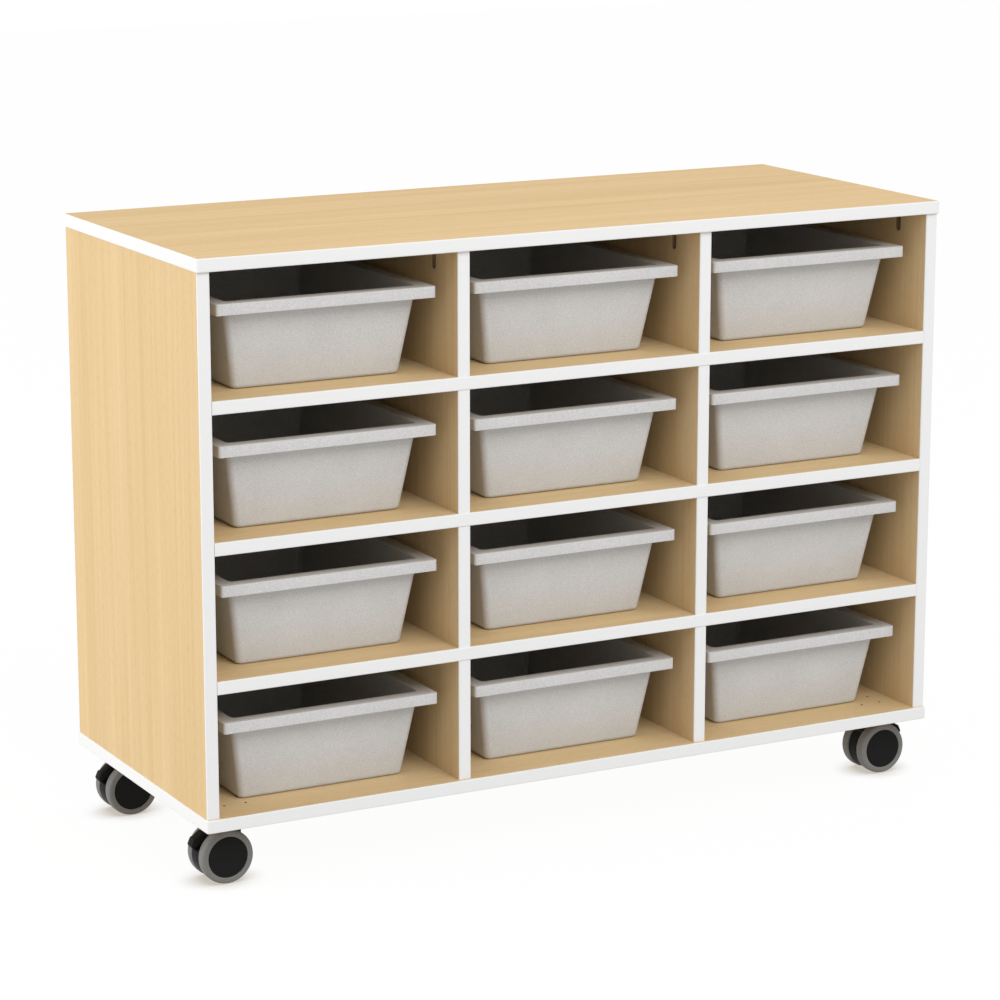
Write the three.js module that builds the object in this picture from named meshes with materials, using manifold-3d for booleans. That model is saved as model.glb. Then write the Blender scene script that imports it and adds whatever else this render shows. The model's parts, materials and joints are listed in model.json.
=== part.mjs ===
// Classroom tray storage unit: a cabinet of edge-banded boards on four braked twin-wheel casters,
// with moulded trays that stand on the shelves and pull out forwards.
// Millimetres, +Z up, front towards -Y, origin on the floor under the middle of the unit.

import * as THREE from 'three';
import { mergeVertices } from 'three/addons/utils/BufferGeometryUtils.js';
import Module from 'manifold-3d';

const wasm = await Module();
wasm.setup();

// Cabinet
const UNIT_WIDTH = 1140;
const UNIT_DEPTH = 467;
const BOARD = 18;
const ROWS = 4;
const COLUMNS = 3;
const BAY_HEIGHT = 168;
const END_OVERHANG = 1.5;
const FRONT_OVERHANG = 4;
const DIVIDER_SETBACK = 1.5;
const BAND_RADIUS = 1.5;
const TOP_CORNER_RADIUS = 3;
const BOARD_JOINT_GAP = 0.05;

// Screw pockets in the uprights that carry the top board
const POCKET_WIDTH = 12;
const POCKET_DEPTH = 9;
const POCKET_DROP = 33;
const POCKET_WEB = 8;
const POCKET_EDGE_INSET = 70;

// Trays
const TRAY_SIDE_GAP = 19.5;
const TRAY_HEADROOM = 47.8;
const TRAY_SETBACK = 26;
const TRAY_REAR_GAP = 11;
const TRAY_WALL = 2.5;
const TRAY_DRAFT = THREE.MathUtils.degToRad(9);
const TRAY_RIM = 20.3;
const TRAY_LIP = 15.4;
const TRAY_RIM_EDGE = 1.2;
const TRAY_RIM_CORNER = 4;
const TRAY_WALL_CORNER = 9;
const TRAY_FLOOR_FILLET = 6;

// Casters
const CASTER_END_INSET = 62;
const CASTER_EDGE_INSET = 67;
const CASTER_TRAIL = 16;
const WHEEL_RADIUS = 37.5;
const WHEEL_WIDTH = 15.5;
const WHEEL_SIDE_GAP = 0.5;
const WHEEL_HEADROOM = 10.4;
const HUB_RADIUS = 28;
const HUB_RECESS = 0.6;
const HUB_FACE = 2.5;
const WHEEL_SHELL = 4;
const WHEEL_BOSS_RADIUS = 8;
const TYRE_SHOULDER = 4.5;
const TYRE_INNER_CHAMFER = 2.5;
const RUNNING_GAP = 0.3;
const AXLE_RADIUS = 4;
const HOOD_WIDTH = 22;
const HOOD_INSET = 3;
const NECK_HALF = 10;
const COLLAR_RADIUS = 16;
const COLLAR_HEIGHT = 8;
const PLATE_SIZE = 42;
const PLATE_THICKNESS = 2.5;
const PLATE_CORNER = 5;
const PLATE_HOLE_SPACING = 31;
const PLATE_HOLE_RADIUS = 2.4;
const KING_PIN_RADIUS = 5;
const KING_PIN_LENGTH = 18;

// Brake pedals, placed from the wheel's axle: outwards, then up
const PEDAL_WIDTH = 15;
const PEDAL_SIDE_GAP = 0.5;
const PEDAL_PIVOT = { out: 16, up: 21 };
const PEDAL_PIVOT_RADIUS = 2.5;
const PEDAL_REACH = 44.5;
const PEDAL_TIP_UP = 16.5;
const PEDAL_NOSE = 4.5;
const PEDAL_LEDGE = 4;
const PEDAL_LEDGE_RISE = 9;
const PEDAL_CROWN = 12.3;
const PEDAL_TAIL = 6;
const PEDAL_TAIL_START = THREE.MathUtils.degToRad(135);
const PEDAL_TAIL_ROOM = 4;
const PEDAL_SWING_ROOM = 8;

// How finely round forms are cut: facets in a quarter turn, then facets in a full turn
const CORNER_STEPS = 3;
const FILLET_STEPS = 2;
const BAND_STEPS = 2;
const WHEEL_SIDES = 24;
const PIN_SIDES = 10;
const HOLE_SIDES = 6;

// Sizes that follow from those above
const axleZ = WHEEL_RADIUS * Math.cos(Math.PI / WHEEL_SIDES);
const plateBottom = axleZ + WHEEL_RADIUS + WHEEL_HEADROOM;
const cabinetBottom = plateBottom + PLATE_THICKNESS + BOARD_JOINT_GAP;
const bayPitch = BAY_HEIGHT + BOARD;
const cabinetHeight = ROWS * bayPitch + BOARD;
const frontY = -UNIT_DEPTH / 2 + FRONT_OVERHANG;
const carcassDepth = UNIT_DEPTH - 2 * FRONT_OVERHANG;
const innerDepth = carcassDepth - BOARD;
const innerWidth = UNIT_WIDTH - 2 * END_OVERHANG - 2 * BOARD;
const bayWidth = (innerWidth - (COLUMNS - 1) * BOARD) / COLUMNS;
const trayWidth = bayWidth - 2 * TRAY_SIDE_GAP;
const trayLength = innerDepth - TRAY_SETBACK - TRAY_REAR_GAP;
const trayHeight = BAY_HEIGHT - TRAY_HEADROOM;
const hubOuter = WHEEL_WIDTH - HUB_RECESS;
const axleSocket = hubOuter - HUB_FACE;
const pedalSlot = PEDAL_WIDTH + 2 * PEDAL_SIDE_GAP;
const pivotX = CASTER_TRAIL + PEDAL_PIVOT.out;
const pivotZ = axleZ + PEDAL_PIVOT.up;

const laminate = new THREE.MeshStandardMaterial({ color: 0xe2c596, roughness: 0.5, metalness: 0 });
const trayPlastic = new THREE.MeshStandardMaterial({ color: 0xcfccc8, roughness: 0.55, metalness: 0 });
const blackPlastic = new THREE.MeshStandardMaterial({ color: 0x212121, roughness: 0.45, metalness: 0 });
const tyreRubber = new THREE.MeshStandardMaterial({ color: 0x6b6863, roughness: 0.6, metalness: 0 });
const platedSteel = new THREE.MeshStandardMaterial({ color: 0xb4b7b9, roughness: 0.35, metalness: 0.9 });

const unit = new THREE.Group();

// Closed solid with shared corners merged, no empty triangles and its faces pointing out
function solid(source) {
  source.deleteAttribute('normal');
  source.deleteAttribute('uv');
  const merged = mergeVertices(source, 1e-4);
  const position = merged.getAttribute('position');
  const index = merged.getIndex().array;
  const triangles = [];
  for (let i = 0; i < index.length; i += 3) {
    const [a, b, c] = [index[i], index[i + 1], index[i + 2]];
    if (a !== b && b !== c && c !== a) triangles.push([a, b, c]);
  }
  const corner = (i) => new THREE.Vector3().fromBufferAttribute(position, i);
  let volume = 0;
  for (const [a, b, c] of triangles) {
    volume += corner(a).dot(corner(b).cross(corner(c)));
  }
  const faces = volume < 0 ? triangles.map(([a, b, c]) => [a, c, b]) : triangles;
  const geometry = new THREE.BufferGeometry();
  geometry.setAttribute('position', position);
  geometry.setIndex(faces.flat());
  geometry.computeVertexNormals();
  return geometry;
}

function toManifold(geometry) {
  const closed = solid(geometry.clone());
  return new wasm.Manifold(new wasm.Mesh({
    numProp: 3,
    vertProperties: new Float32Array(closed.getAttribute('position').array),
    triVerts: new Uint32Array(closed.getIndex().array),
  }));
}

function fromManifold(manifold) {
  const mesh = manifold.getMesh();
  const geometry = new THREE.BufferGeometry();
  geometry.setAttribute('position', new THREE.BufferAttribute(mesh.vertProperties, 3));
  geometry.setIndex(new THREE.BufferAttribute(mesh.triVerts, 1));
  geometry.computeVertexNormals();
  return geometry;
}

// Joins the first list of geometries into one and cuts the second list out of it
function carve(joined, cuts) {
  let body = toManifold(joined[0]);
  for (const piece of joined.slice(1)) body = body.add(toManifold(piece));
  for (const piece of cuts) body = body.subtract(toManifold(piece));
  return fromManifold(body);
}

function addPart(name, geometry, material, group = unit, place = [0, 0, 0]) {
  const mesh = new THREE.Mesh(geometry, material);
  mesh.name = name;
  mesh.position.set(...place);
  group.add(mesh);
}

// Turns a profile drawn in (first, second) so that it lies in those two axes and runs along the third
function layProfile(geometry, first, second) {
  const third = new THREE.Vector3().crossVectors(first, second);
  return geometry.applyMatrix4(new THREE.Matrix4().makeBasis(first, second, third));
}

// Arcs in an outline are cut into twice the divisions asked for
const divisions = (steps) => steps / 2;

const X = new THREE.Vector3(1, 0, 0);
const Y = new THREE.Vector3(0, 1, 0);
const Z = new THREE.Vector3(0, 0, 1);

function roundedRectangle(width, depth, radius) {
  const [x, y] = [width / 2 - radius, depth / 2 - radius];
  const shape = new THREE.Shape();
  shape.absarc(x, -y, radius, -Math.PI / 2, 0);
  shape.absarc(x, y, radius, 0, Math.PI / 2);
  shape.absarc(-x, y, radius, Math.PI / 2, Math.PI);
  shape.absarc(-x, -y, radius, Math.PI, 1.5 * Math.PI);
  return shape;
}

// Cross-section of a board whose front edge, at zero depth, is banded and rounded
function bandedSection(thickness, depth) {
  const half = thickness / 2;
  const shape = new THREE.Shape();
  shape.moveTo(half, depth);
  shape.lineTo(-half, depth);
  shape.absarc(-half + BAND_RADIUS, BAND_RADIUS, BAND_RADIUS, Math.PI, 1.5 * Math.PI);
  shape.absarc(half - BAND_RADIUS, BAND_RADIUS, BAND_RADIUS, 1.5 * Math.PI, 2 * Math.PI);
  return shape;
}

function bandedBoard(thickness, depth, length) {
  return new THREE.ExtrudeGeometry(bandedSection(thickness, depth), {
    depth: length,
    curveSegments: divisions(BAND_STEPS),
    bevelEnabled: false,
  });
}

// Slot with a round lower end, sunk in an upright's face, where a screw is driven up into the top board
function screwPocket(side, y, top) {
  const radius = POCKET_WIDTH / 2;
  const outline = new THREE.Shape();
  outline.moveTo(radius, -POCKET_WEB);
  outline.lineTo(-radius, -POCKET_WEB);
  outline.absarc(0, radius - POCKET_DROP, radius, Math.PI, 2 * Math.PI);
  const cutter = new THREE.ExtrudeGeometry(outline, {
    depth: 2 * POCKET_DEPTH,
    curveSegments: CORNER_STEPS,
    bevelEnabled: false,
  }).translate(0, 0, -POCKET_DEPTH);
  return layProfile(cutter, Y, Z).translate(side * BOARD / 2, y, top);
}

// Upright under the top board, with a front and a rear screw pocket in the face on the given side
function pocketedUpright(depth, height, side) {
  const places = [POCKET_EDGE_INSET, depth - POCKET_EDGE_INSET];
  return carve([bandedBoard(BOARD, depth, height)], places.map((y) => screwPocket(side, y, height)));
}

// Top and bottom boards, banded and rounded on all four edges
function coverBoard() {
  const outline = roundedRectangle(UNIT_WIDTH, UNIT_DEPTH, TOP_CORNER_RADIUS);
  const board = new THREE.ExtrudeGeometry(outline, {
    depth: BOARD - 2 * BAND_RADIUS,
    curveSegments: divisions(BAND_STEPS),
    bevelThickness: BAND_RADIUS,
    bevelSize: BAND_RADIUS,
    bevelOffset: -BAND_RADIUS,
    bevelSegments: BAND_STEPS,
  });
  return solid(board.translate(0, 0, BAND_RADIUS));
}

const shelfTop = (row) => cabinetBottom + BOARD + (ROWS - 1 - row) * bayPitch;
const bayCentre = (column) => (column - (COLUMNS - 1) / 2) * (bayWidth + BOARD);

function addCabinet() {
  addPart('bottom_board', coverBoard(), laminate, unit, [0, 0, cabinetBottom]);
  addPart('top_board', coverBoard(), laminate, unit, [0, 0, cabinetBottom + cabinetHeight - BOARD]);

  const sideHeight = cabinetHeight - 2 * BOARD - 2 * BOARD_JOINT_GAP;
  const uprightZ = cabinetBottom + BOARD + BOARD_JOINT_GAP;
  for (const [name, side] of [['left', -1], ['right', 1]]) {
    const board = pocketedUpright(carcassDepth, sideHeight, -side);
    addPart(`${name}_side`, board, laminate, unit, [side * (innerWidth + BOARD) / 2, frontY, uprightZ]);
  }

  const boardLength = innerWidth - 2 * BOARD_JOINT_GAP;
  const back = new THREE.BoxGeometry(boardLength, BOARD, sideHeight);
  const backY = frontY + innerDepth + BOARD / 2;
  addPart('back_panel', solid(back), laminate, unit, [0, backY, uprightZ + sideHeight / 2]);

  const shelfDepth = innerDepth - BOARD_JOINT_GAP;
  for (let row = 0; row < ROWS - 1; row += 1) {
    const section = bandedBoard(BOARD, shelfDepth, boardLength).translate(0, 0, -boardLength / 2);
    const shelf = solid(layProfile(section, Z.clone().negate(), Y));
    addPart(`shelf_${row + 1}`, shelf, laminate, unit, [0, frontY, shelfTop(row) - BOARD / 2]);
  }

  const dividerDepth = shelfDepth - DIVIDER_SETBACK;
  const dividerHeight = BAY_HEIGHT - 2 * BOARD_JOINT_GAP;
  for (let row = 0; row < ROWS; row += 1) {
    for (let gap = 0; gap < COLUMNS - 1; gap += 1) {
      const plain = solid(bandedBoard(BOARD, dividerDepth, dividerHeight));
      const divider = row === 0 ? pocketedUpright(dividerDepth, dividerHeight, -1) : plain;
      const x = bayCentre(gap) + (bayWidth + BOARD) / 2;
      const z = shelfTop(row) + BOARD_JOINT_GAP;
      addPart(`divider_r${row + 1}_${gap + 1}`, divider, laminate, unit, [x, frontY + DIVIDER_SETBACK, z]);
    }
  }
}

// One level of a tray: a rounded rectangle inset from the rim's outside
function trayRing(inset, radius, z) {
  const outline = roundedRectangle(trayWidth - 2 * inset, trayLength - 2 * inset, radius);
  return outline.getPoints(divisions(CORNER_STEPS)).map((p) => new THREE.Vector3(p.x, p.y, z));
}

// Skin over a run of convex rings with equal counts, closed by a flat cap at each end
function loft(rings) {
  const count = rings[0].length;
  const positions = rings.flat().flatMap((p) => [p.x, p.y, p.z]);
  const index = [];
  for (let level = 0; level < rings.length - 1; level += 1) {
    for (let i = 0; i < count; i += 1) {
      const [a, b] = [level * count + i, level * count + (i + 1) % count];
      index.push(a, b, a + count, b, b + count, a + count);
    }
  }
  const last = (rings.length - 1) * count;
  for (let i = 1; i < count - 1; i += 1) {
    index.push(0, i + 1, i, last, last + i, last + i + 1);
  }
  const geometry = new THREE.BufferGeometry();
  geometry.setAttribute('position', new THREE.Float32BufferAttribute(positions, 3));
  geometry.setIndex(index);
  return solid(geometry);
}

// Moulded tray: tapered shell of even wall, filleted floor, flat rim and turned-down lip
function trayGeometry() {
  const slope = Math.tan(TRAY_DRAFT);
  const wallAcross = TRAY_WALL / Math.cos(TRAY_DRAFT);
  const innerInset = (z) => TRAY_RIM + (trayHeight - z) * slope;
  const outerInset = (z) => innerInset(z) - wallAcross;
  const outerRadius = TRAY_WALL_CORNER;
  const innerRadius = TRAY_WALL_CORNER - TRAY_WALL;
  const innerFillet = TRAY_FLOOR_FILLET - TRAY_WALL;

  // Rings round the corner between a floor at floorZ and its wall, from floor to wall
  const fillet = (insetAt, floorZ, size, radius) => {
    const arc = new THREE.QuadraticBezierCurve(
      new THREE.Vector2(insetAt(floorZ) + size, floorZ),
      new THREE.Vector2(insetAt(floorZ), floorZ),
      new THREE.Vector2(insetAt(floorZ + size), floorZ + size),
    );
    return arc.getPoints(FILLET_STEPS).map((p) => trayRing(p.x, radius - (p.x - insetAt(p.y)), p.y));
  };

  const rimBottom = trayHeight - TRAY_WALL;
  const lipBottom = trayHeight - TRAY_LIP;
  const rimShoulder = trayHeight - TRAY_RIM_EDGE;
  const lipInnerRadius = TRAY_RIM_CORNER - TRAY_WALL;
  return loft([
    ...fillet(outerInset, 0, TRAY_FLOOR_FILLET, outerRadius),
    trayRing(outerInset(rimBottom), outerRadius, rimBottom),
    trayRing(TRAY_WALL, lipInnerRadius, rimBottom),
    trayRing(TRAY_WALL, lipInnerRadius, lipBottom),
    trayRing(0, TRAY_RIM_CORNER, lipBottom),
    trayRing(0, TRAY_RIM_CORNER, rimShoulder),
    trayRing(TRAY_RIM_EDGE, TRAY_RIM_CORNER - TRAY_RIM_EDGE, trayHeight),
    trayRing(TRAY_RIM - TRAY_RIM_EDGE, innerRadius + TRAY_RIM_EDGE, trayHeight),
    trayRing(innerInset(rimShoulder), innerRadius, rimShoulder),
    ...fillet(innerInset, TRAY_WALL, innerFillet, innerRadius).reverse(),
  ]);
}

function addTrays() {
  const centreY = frontY + TRAY_SETBACK + trayLength / 2;
  for (let row = 0; row < ROWS; row += 1) {
    for (let column = 0; column < COLUMNS; column += 1) {
      const place = [bayCentre(column), centreY, shelfTop(row) + BOARD_JOINT_GAP];
      addPart(`tray_r${row + 1}_c${column + 1}`, trayGeometry(), trayPlastic, unit, place);
    }
  }
}

// Turned form about the axle, from (radius, distance along the axle) points
function turned(points) {
  const profile = points.map(([radius, along]) => new THREE.Vector2(radius, along));
  return solid(new THREE.LatheGeometry(profile, WHEEL_SIDES, Math.PI / WHEEL_SIDES));
}

// Cup-shaped wheel core: closed hub face outside, open inside round a bored boss
function wheelCore() {
  const web = hubOuter - WHEEL_SHELL;
  const bore = AXLE_RADIUS + RUNNING_GAP;
  const rimInside = HUB_RADIUS - WHEEL_SHELL;
  return turned([
    [0, hubOuter],
    [HUB_RADIUS, hubOuter],
    [HUB_RADIUS, 0],
    [rimInside, 0],
    [rimInside, web],
    [WHEEL_BOSS_RADIUS, web],
    [WHEEL_BOSS_RADIUS, 0],
    [bore, 0],
    [bore, axleSocket],
    [0, axleSocket],
  ]);
}

function tyre() {
  const seat = HUB_RADIUS + RUNNING_GAP;
  return turned([
    [seat, 0],
    [WHEEL_RADIUS - TYRE_INNER_CHAMFER, 0],
    [WHEEL_RADIUS, TYRE_INNER_CHAMFER],
    [WHEEL_RADIUS, WHEEL_WIDTH - TYRE_SHOULDER],
    [WHEEL_RADIUS - TYRE_SHOULDER, WHEEL_WIDTH],
    [seat, WHEEL_WIDTH],
    [seat, 0],
  ]);
}

const rodAlongY = (radius, length, sides) => new THREE.CylinderGeometry(radius, radius, length, sides);
const rodAlongZ = (radius, length, sides) => rodAlongY(radius, length, sides).rotateX(Math.PI / 2);

// Screw-on plate with its swivel pin
function casterPlate() {
  const outline = roundedRectangle(PLATE_SIZE, PLATE_SIZE, PLATE_CORNER);
  const plate = new THREE.ExtrudeGeometry(outline, {
    depth: PLATE_THICKNESS,
    curveSegments: divisions(CORNER_STEPS),
    bevelEnabled: false,
  }).translate(0, 0, plateBottom);
  const plateMiddle = plateBottom + PLATE_THICKNESS / 2;
  const reach = PLATE_HOLE_SPACING / 2;
  const corners = [[-reach, -reach], [reach, -reach], [reach, reach], [-reach, reach]];
  const holes = corners.map(([x, y]) => (
    rodAlongZ(PLATE_HOLE_RADIUS, 2 * PLATE_THICKNESS, HOLE_SIDES).translate(x, y, plateMiddle)
  ));
  const pinLength = KING_PIN_LENGTH + PLATE_THICKNESS / 2;
  const pin = rodAlongZ(KING_PIN_RADIUS, pinLength, PIN_SIDES)
    .translate(0, 0, plateMiddle - pinLength / 2);
  return carve([plate, pin], holes);
}

// Swivel hood between the wheels: round body on the axle, neck and collar on the swivel pin
function casterHood() {
  const bodyRadius = WHEEL_RADIUS - HOOD_INSET;
  const hoodTop = plateBottom - RUNNING_GAP;
  const collarBottom = hoodTop - COLLAR_HEIGHT;
  const neckHeight = collarBottom + COLLAR_HEIGHT / 2 - axleZ;
  const body = rodAlongY(bodyRadius, HOOD_WIDTH, WHEEL_SIDES).translate(CASTER_TRAIL, 0, axleZ);
  const neck = new THREE.BoxGeometry(2 * NECK_HALF, HOOD_WIDTH, neckHeight)
    .translate(0, 0, axleZ + neckHeight / 2);
  const collar = rodAlongZ(COLLAR_RADIUS, COLLAR_HEIGHT, WHEEL_SIDES)
    .translate(0, 0, hoodTop - COLLAR_HEIGHT / 2);

  const boreLength = KING_PIN_LENGTH + RUNNING_GAP;
  const pinBore = rodAlongZ(KING_PIN_RADIUS + RUNNING_GAP, 2 * boreLength, PIN_SIDES)
    .translate(0, 0, plateBottom);
  const axleBore = rodAlongY(AXLE_RADIUS + RUNNING_GAP, 2 * HOOD_WIDTH, PIN_SIDES)
    .translate(CASTER_TRAIL, 0, axleZ);
  const pivotBore = rodAlongY(PEDAL_PIVOT_RADIUS + RUNNING_GAP, 2 * HOOD_WIDTH, PIN_SIDES)
    .translate(pivotX, 0, pivotZ);
  const slotBack = pivotX - PEDAL_TAIL - PEDAL_TAIL_ROOM;
  const slotFloor = pivotZ - PEDAL_TAIL - PEDAL_SWING_ROOM;
  const slot = new THREE.BoxGeometry(2 * bodyRadius, pedalSlot, 2 * bodyRadius)
    .translate(slotBack + bodyRadius, 0, slotFloor + bodyRadius);
  return carve([body, neck, collar], [pinBore, axleBore, pivotBore, slot]);
}

// Foot pedal with its trunnion: a round tail at the pivot, a sloping tread, a ledge and a blunt nose
function brakePedal() {
  const { out, up } = PEDAL_PIVOT;
  const ledgeUp = PEDAL_TIP_UP + PEDAL_LEDGE_RISE;
  const outline = new THREE.Shape();
  outline.absarc(out, up, PEDAL_TAIL, PEDAL_TAIL_START, 1.5 * Math.PI);
  outline.lineTo(PEDAL_REACH - PEDAL_CROWN, PEDAL_TIP_UP);
  outline.lineTo(PEDAL_REACH - PEDAL_NOSE / 2, PEDAL_TIP_UP - PEDAL_NOSE);
  outline.lineTo(PEDAL_REACH, PEDAL_TIP_UP);
  outline.lineTo(PEDAL_REACH - PEDAL_LEDGE, ledgeUp);
  outline.lineTo(PEDAL_REACH - 2 * PEDAL_LEDGE, ledgeUp + PEDAL_LEDGE / 4);
  outline.lineTo(out + PEDAL_CROWN, up + PEDAL_CROWN);
  outline.lineTo(out, up + PEDAL_CROWN);
  const tread = new THREE.ExtrudeGeometry(outline, {
    depth: PEDAL_WIDTH,
    curveSegments: divisions(CORNER_STEPS),
    bevelEnabled: false,
  }).translate(0, 0, -PEDAL_WIDTH / 2);
  const lever = layProfile(tread, X, Z).translate(CASTER_TRAIL, 0, axleZ);
  const trunnion = rodAlongY(PEDAL_PIVOT_RADIUS, HOOD_WIDTH, PIN_SIDES).translate(pivotX, 0, pivotZ);
  return carve([lever, trunnion], []);
}

// One caster, trailing outwards along its own +X
function addCaster(name, x, y, turn) {
  const group = new THREE.Group();
  group.position.set(x, y, 0);
  group.rotation.z = turn;
  unit.add(group);

  addPart(`${name}_plate`, casterPlate(), platedSteel, group);
  addPart(`${name}_hood`, casterHood(), blackPlastic, group);
  addPart(`${name}_brake`, brakePedal(), blackPlastic, group);

  const wheelInside = HOOD_WIDTH / 2 + WHEEL_SIDE_GAP;
  const axleLength = 2 * (wheelInside + axleSocket - RUNNING_GAP);
  const axle = solid(rodAlongY(AXLE_RADIUS, axleLength, PIN_SIDES));
  addPart(`${name}_axle`, axle, platedSteel, group, [CASTER_TRAIL, 0, axleZ]);

  for (const side of [-1, 1]) {
    const end = side * Math.cos(turn) < 0 ? 'front' : 'rear';
    const core = side > 0 ? wheelCore() : wheelCore().rotateX(Math.PI);
    const ring = side > 0 ? tyre() : tyre().rotateX(Math.PI);
    const place = [CASTER_TRAIL, side * wheelInside, axleZ];
    addPart(`${name}_wheel_${end}`, core, blackPlastic, group, place);
    addPart(`${name}_tyre_${end}`, ring, tyreRubber, group, place);
  }
}

function addCasters() {
  const x = UNIT_WIDTH / 2 - CASTER_END_INSET;
  const y = UNIT_DEPTH / 2 - CASTER_EDGE_INSET;
  addCaster('caster_fl', -x, -y, Math.PI);
  addCaster('caster_fr', x, -y, 0);
  addCaster('caster_bl', -x, y, Math.PI);
  addCaster('caster_br', x, y, 0);
}

addCabinet();
addTrays();
addCasters();

export default unit;
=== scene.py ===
"""Looks of the classroom tray storage unit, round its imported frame. Metres, front towards -Y, +Z up."""

import json
import math

import bmesh
import bpy
from mathutils import Matrix, Vector

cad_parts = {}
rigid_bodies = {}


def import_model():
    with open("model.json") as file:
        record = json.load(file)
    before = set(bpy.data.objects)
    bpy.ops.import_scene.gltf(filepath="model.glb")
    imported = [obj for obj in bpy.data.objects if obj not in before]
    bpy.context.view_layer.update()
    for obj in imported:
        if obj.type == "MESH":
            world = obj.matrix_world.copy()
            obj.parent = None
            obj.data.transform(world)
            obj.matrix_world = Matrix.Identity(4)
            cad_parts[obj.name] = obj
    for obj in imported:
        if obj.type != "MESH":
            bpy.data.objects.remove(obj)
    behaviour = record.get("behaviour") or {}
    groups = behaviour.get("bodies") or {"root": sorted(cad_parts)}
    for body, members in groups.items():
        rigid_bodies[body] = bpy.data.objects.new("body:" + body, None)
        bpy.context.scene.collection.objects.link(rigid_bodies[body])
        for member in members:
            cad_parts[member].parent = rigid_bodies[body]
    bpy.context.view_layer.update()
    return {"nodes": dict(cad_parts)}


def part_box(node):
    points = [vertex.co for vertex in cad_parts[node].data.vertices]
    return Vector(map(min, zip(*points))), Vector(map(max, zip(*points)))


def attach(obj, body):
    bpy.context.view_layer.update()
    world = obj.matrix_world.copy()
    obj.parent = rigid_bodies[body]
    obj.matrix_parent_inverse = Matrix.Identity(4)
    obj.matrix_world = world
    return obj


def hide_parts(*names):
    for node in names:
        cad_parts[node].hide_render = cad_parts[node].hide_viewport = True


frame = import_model()

MM = 0.001

# Camera, found by fitting the photograph's edges
CAMERA_AZIMUTH = math.radians(-28.07)
CAMERA_ELEVATION = math.radians(12.88)
CAMERA_DISTANCE = 4887.3 * MM
CAMERA_TARGET = Vector((1.1, 23.0, 425.0)) * MM
CAMERA_LENS = 123.0
CAMERA_SENSOR = 36.0

# Studio: the floor's own glow and colour, as the camera sees them and as they light the object
FLOOR_SEEN_GLOW = 0.96
FLOOR_SEEN_MATT = (0.98, 0.98, 0.97, 1)
FLOOR_GLOW = 0.55
FLOOR_MATT = (0.25, 0.25, 0.25, 1)
FLOOR_HALF = 12.0
CLEAR = (1, 1, 1, 1)
CONTACT_REACH = 0.05
CONTACT_SHADE = ((0.3, (0.58, 0.53, 0.47, 1)), (0.85, CLEAR))
DOME_STRENGTH = 0.76
LAMP_SIZE = 3.0
LAMP_AIM = Vector((0, 0, 0.45))
LEFT_LAMP = (Vector((-4.5, 1.0, 1.2)), 100)
FRONT_LAMP = (Vector((0.0, -4.46, 4.46)), 140)
DIFFUSE_BOUNCES = 2

# Sockets of the Mix node that carry its factor, its two colours and its result
MIX_FACTOR, MIX_A, MIX_B, MIX_RESULT = 0, 6, 7, 2

# Values between which noise runs from its dark colour to its light one
NOISE_LOW = 0.3
NOISE_HIGH = 0.7

# Maple print: length along the grain and width across it of each kind of figure, and their colours by place
GRAIN_BROAD = (1.2, 0.042)
GRAIN_STREAK = (0.5, 0.007)
GRAIN_FLECK = (0.012, 0.0024)
BROAD_SHARE = 0.6
FLECK_SHARE = 0.5
PRINT_STEP = (1.7, 2.3, 3.1)
MAPLE = (
    (0.36, (0.685, 0.490, 0.258, 1)),
    (0.50, (0.722, 0.526, 0.288, 1)),
    (0.64, (0.752, 0.560, 0.320, 1)),
)
MAPLE_FLECKS = ((0.28, (0.88, 0.855, 0.82, 1)), (0.52, CLEAR))

# Board surface, white edge bands and the chipboard core, whose brown is partly real chipboard and partly
# painted shade for the screw pockets
BOARD_ROUGHNESS = 0.55
BOARD_ROUGHNESS_SPREAD = 0.14
BOARD_SPECULAR = 0.01
BOARD_BUMP = 0.12
BOARD_BUMP_DEPTH = 0.2 * MM
BUMP_FLECK_SHARE = 0.7
BAND_THICKNESS = 1.7 * MM
BAND_PEEL = 1 / 600
BAND_DARK = (0.825, 0.824, 0.82, 1)
BAND_LIGHT = (0.85, 0.849, 0.845, 1)
FACE_SKIN = 0.3 * MM
CORE_CHIP = 3 * MM
# Core browns: chipboard colour, darkened as painted shade so the screw pockets read dark
CORE_DARK_WITH_SHADE = (0.26, 0.17, 0.09, 1)
CORE_LIGHT_WITH_SHADE = (0.40, 0.28, 0.16, 1)

# Plastic and rubber: a fine stipple over faint clouds, which measure so many stipples across
CLOUD_STIPPLES = 40
STIPPLE_SHARE = 0.85
STIPPLE_ROUGHNESS_SPREAD = 0.12
STIPPLE_DEPTH = 0.3 * MM

# Steel: drawn lines and spangles, as features to the metre
DRAWN_LINES = (40, 1500, 1500)
SPANGLES = (250, 250, 250)
STEEL_ROUGHNESS = 0.28
STEEL_ROUGHNESS_SPREAD = 0.18
STEEL_BUMP = 0.08
STEEL_BUMP_DEPTH = 0.2 * MM

# Layout of the boards and trays, with the axes that the grain runs along
ROWS = 4
COLUMNS = 3
GRAIN_ACROSS = 0
GRAIN_UPRIGHT = 2

# Tray mould, the same sizes as the solid tray
TRAY_WALL = 2.5 * MM
TRAY_DRAFT = math.radians(9)
TRAY_RIM = 20.3 * MM
TRAY_LIP = 15.4 * MM
TRAY_RIM_CORNER = 4 * MM
TRAY_WALL_CORNER = 9 * MM
TRAY_FLOOR_FILLET = 6 * MM
TRAY_EDGE = 1.2 * MM
TRAY_LIP_EDGE = 0.7 * MM
TRAY_CORNER_STEPS = 8
TRAY_EDGE_STEPS = 3
TRAY_FLOOR_STEPS = 5

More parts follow.
